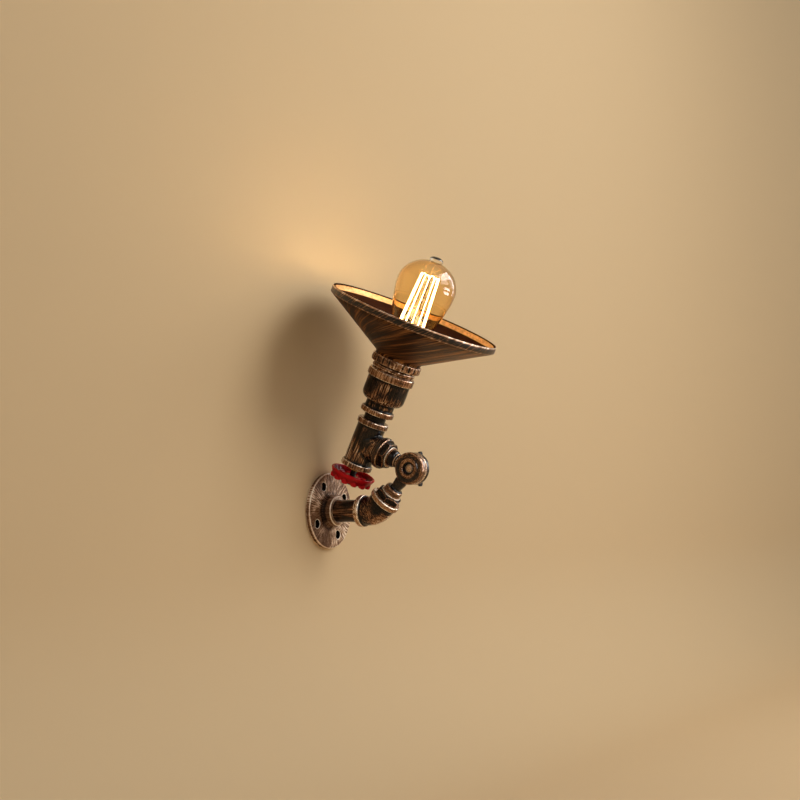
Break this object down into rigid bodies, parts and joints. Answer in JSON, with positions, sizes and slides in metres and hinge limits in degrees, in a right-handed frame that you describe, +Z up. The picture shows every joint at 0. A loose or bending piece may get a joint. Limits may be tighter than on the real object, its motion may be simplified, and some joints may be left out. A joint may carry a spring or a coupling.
{
  "type": "swing arm wall lamp",
  "caption": "Industrial pipe-fitting wall lamp: flanged elbow arm, clamped swivel, tee with red handwheel switch, and a conical bronze shade round an amber squirrel-cage bulb.",
  "frame": {"origin": "centre of the wall flange's back face, on the wall", "axes": "+Y into the wall, so the lamp stands out along -Y; +Z up; +X across the wall, towards the wing nut"},
  "size_m": [0.165, 0.1738, 0.2745],
  "materials": {
    "antique_iron": "dark antique bronze with rubbed copper on the edges",
    "bronzed_steel": "antique bronze, rubbed",
    "shade_bronze": "dark bronze with streaked copper brushing",
    "red_paint": "glossy red enamel",
    "steel": "plain",
    "brass": "plain",
    "black_insulation": "matte",
    "porcelain": "glazed",
    "amber_glass": "clear amber",
    "clear_glass": "clear",
    "filament_wire": "glowing"
  },
  "bodies": {
    "wall_arm": {"wall_flange": "antique_iron", "wall_nipple": "antique_iron", "elbow": "antique_iron", "lower_bush": "antique_iron", "lower_stem_washer": "bronzed_steel", "lower_swivel": "antique_iron", "pivot_bolt": "bronzed_steel", "friction_washer": "black_insulation", "wing_washer": "steel"},
    "wing_nut": {"wing_nut": "bronzed_steel"},
    "lamp_head": {"upper_swivel": "antique_iron", "upper_stem_washer": "bronzed_steel", "upper_bush": "antique_iron", "tee": "antique_iron", "end_plug": "antique_iron", "switch_casing": "black_insulation", "switch_bush": "brass", "switch_nut": "brass", "upper_nipple": "antique_iron", "reducing_socket": "antique_iron", "lamp_leads": "black_insulation", "lampholder_body": "porcelain", "screw_shell": "brass", "centre_contact": "brass", "holder_collar": "bronzed_steel", "clamp_ring": "bronzed_steel", "shade": "shade_bronze", "inner_ring": "bronzed_steel", "bulb_cap": "brass", "cap_insulator": "black_insulation", "cap_contact": "steel", "bulb_glass": "amber_glass", "glass_stem": "clear_glass", "lead_wires": "steel", "cage_hooks": "steel", "filament": "filament_wire"},
    "valve_wheel": {"switch_spindle": "steel", "handwheel": "red_paint", "wheel_screw": "steel"}
  },
  "joints": [
    {"name": "arm_tilt", "type": "hinge", "parent": "wall_arm", "child": "lamp_head", "pos_m": [0, -0.09587, 0.03967], "axis": [1, 0, 0], "range_deg": [-4.5, 150]},
    {"name": "wheel_turn", "type": "hinge", "parent": "lamp_head", "child": "valve_wheel", "pos_m": [0, -0.04339, 0.06414], "axis": [0, -0.4226, 0.9063], "range_deg": [0, 270]},
    {"name": "wing_nut_turn", "type": "hinge", "parent": "wall_arm", "child": "wing_nut", "pos_m": [0, -0.09587, 0.03967], "axis": [1, 0, 0], "continuous": true}
  ]
}
